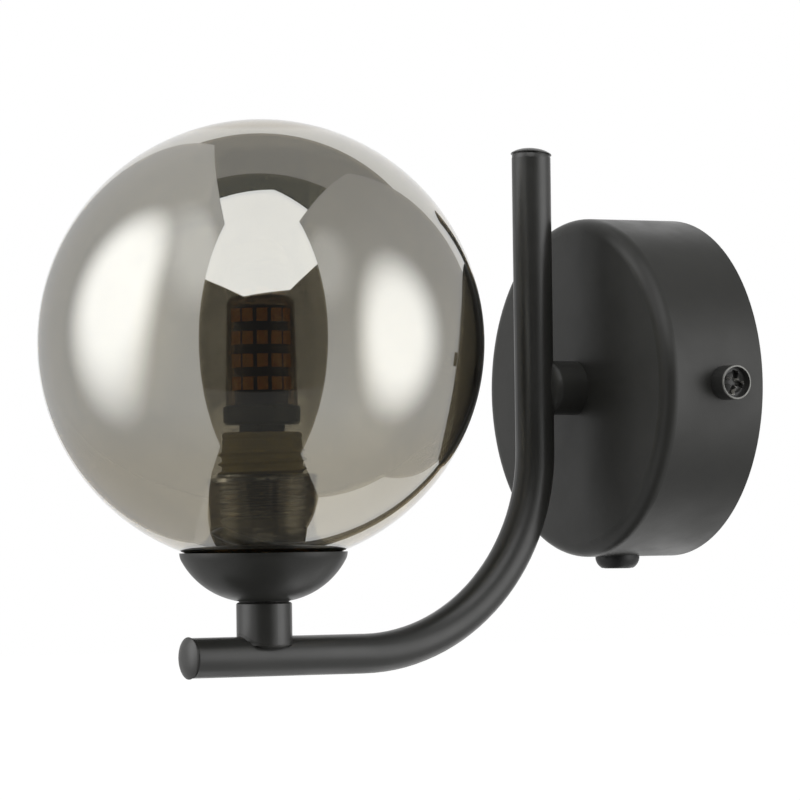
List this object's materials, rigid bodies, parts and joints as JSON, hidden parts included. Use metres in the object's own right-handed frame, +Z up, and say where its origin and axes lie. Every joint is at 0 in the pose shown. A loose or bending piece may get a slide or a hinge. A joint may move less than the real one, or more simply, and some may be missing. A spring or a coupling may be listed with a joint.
{
  "type": "globe wall light",
  "caption": "Wall light with a round cup on a strap bracket, a bent tube arm and a smoked glass globe that screws over a plug-in lamp.",
  "frame": {"origin": "centre of the pair of wall screw slots, on the wall plane at the middle of the wall cup", "axes": "+Y into the wall, +Z up; the light stands out along -Y and the globe's axis is parallel to Z"},
  "size_m": [0.12, 0.1903, 0.1498],
  "materials": {
    "black_metal": "matt black powder coat with a fine grain",
    "black_screws": "blackened steel, satin, bare on the rim",
    "zinc_steel": "zinc plated",
    "brass": "plain stamped brass",
    "pale_plastic": "moulded nylon",
    "holder_ceramic": "cream moulded insulator",
    "black_plastic": "fine moulded texture",
    "soft_washer": "translucent silicone",
    "smoked_glass": "grey smoked glass with a thin mirror coat",
    "lamp_plastic": "moulded lamp base",
    "clear_plastic": "clear capsule",
    "core_board": "coated carrier",
    "chip_amber": "unlit amber phosphor",
    "lead_blue": "insulated lead",
    "lead_brown": "insulated lead",
    "lead_green": "insulated lead, green with yellow"
  },
  "bodies": {
    "fixture": {"wall_cup": "black_metal", "wall_boss": "black_metal", "arm_tube": "black_metal", "arm_top_cap": "black_metal", "arm_front_cap": "black_metal", "lamp_stem": "black_metal", "gallery_cup": "black_metal", "side_screws": "black_screws", "wall_bracket": "zinc_steel", "boss_nipple": "zinc_steel", "boss_lock_washer": "zinc_steel", "boss_nut": "zinc_steel", "stem_nipple": "zinc_steel", "gallery_lock_washer": "zinc_steel", "gallery_nut": "zinc_steel", "earth_screw": "zinc_steel", "terminal_fixing_screw": "zinc_steel", "terminal_screws": "zinc_steel", "terminal_tubes": "brass", "earth_tags": "brass", "switch_tabs": "brass", "lampholder_contacts": "brass", "terminal_block": "pale_plastic", "lampholder_body": "holder_ceramic", "switch_body": "black_plastic", "switch_collar": "black_plastic", "neutral_lead": "lead_blue", "live_lead": "lead_brown", "switch_feed_lead": "lead_brown", "earth_lead": "lead_green"},
    "washer_ring": {"neck_washer": "soft_washer"},
    "globe": {"glass_globe": "smoked_glass"},
    "lamp": {"lamp_base": "lamp_plastic", "lamp_cover": "clear_plastic", "lamp_core": "core_board", "led_chips": "chip_amber", "lamp_pins": "zinc_steel"},
    "button": {"switch_button": "black_plastic"}
  },
  "joints": [
    {"name": "globe_rise", "type": "slide", "parent": "fixture", "child": "washer_ring", "axis": [0, 0, 1], "range_m": [0, 0.01751]},
    {"name": "globe_turn", "type": "hinge", "parent": "washer_ring", "child": "globe", "pos_m": [0, -0.1303, 0.01177], "axis": [0, 0, 1], "range_deg": [0, 2520]},
    {"name": "lamp_pull", "type": "slide", "parent": "fixture", "child": "lamp", "axis": [0, 0, 1], "range_m": [0, 0.0135]},
    {"name": "switch_press", "type": "slide", "parent": "fixture", "child": "button", "axis": [0, 0, 1], "range_m": [0, 0.0015], "stiffness_N_per_m": 800, "springref_m": -0.0015}
  ],
  "couplings": [
    {"joint": "globe_rise", "follows": "globe_turn", "m_per_rad": 0.00039789}
  ]
}
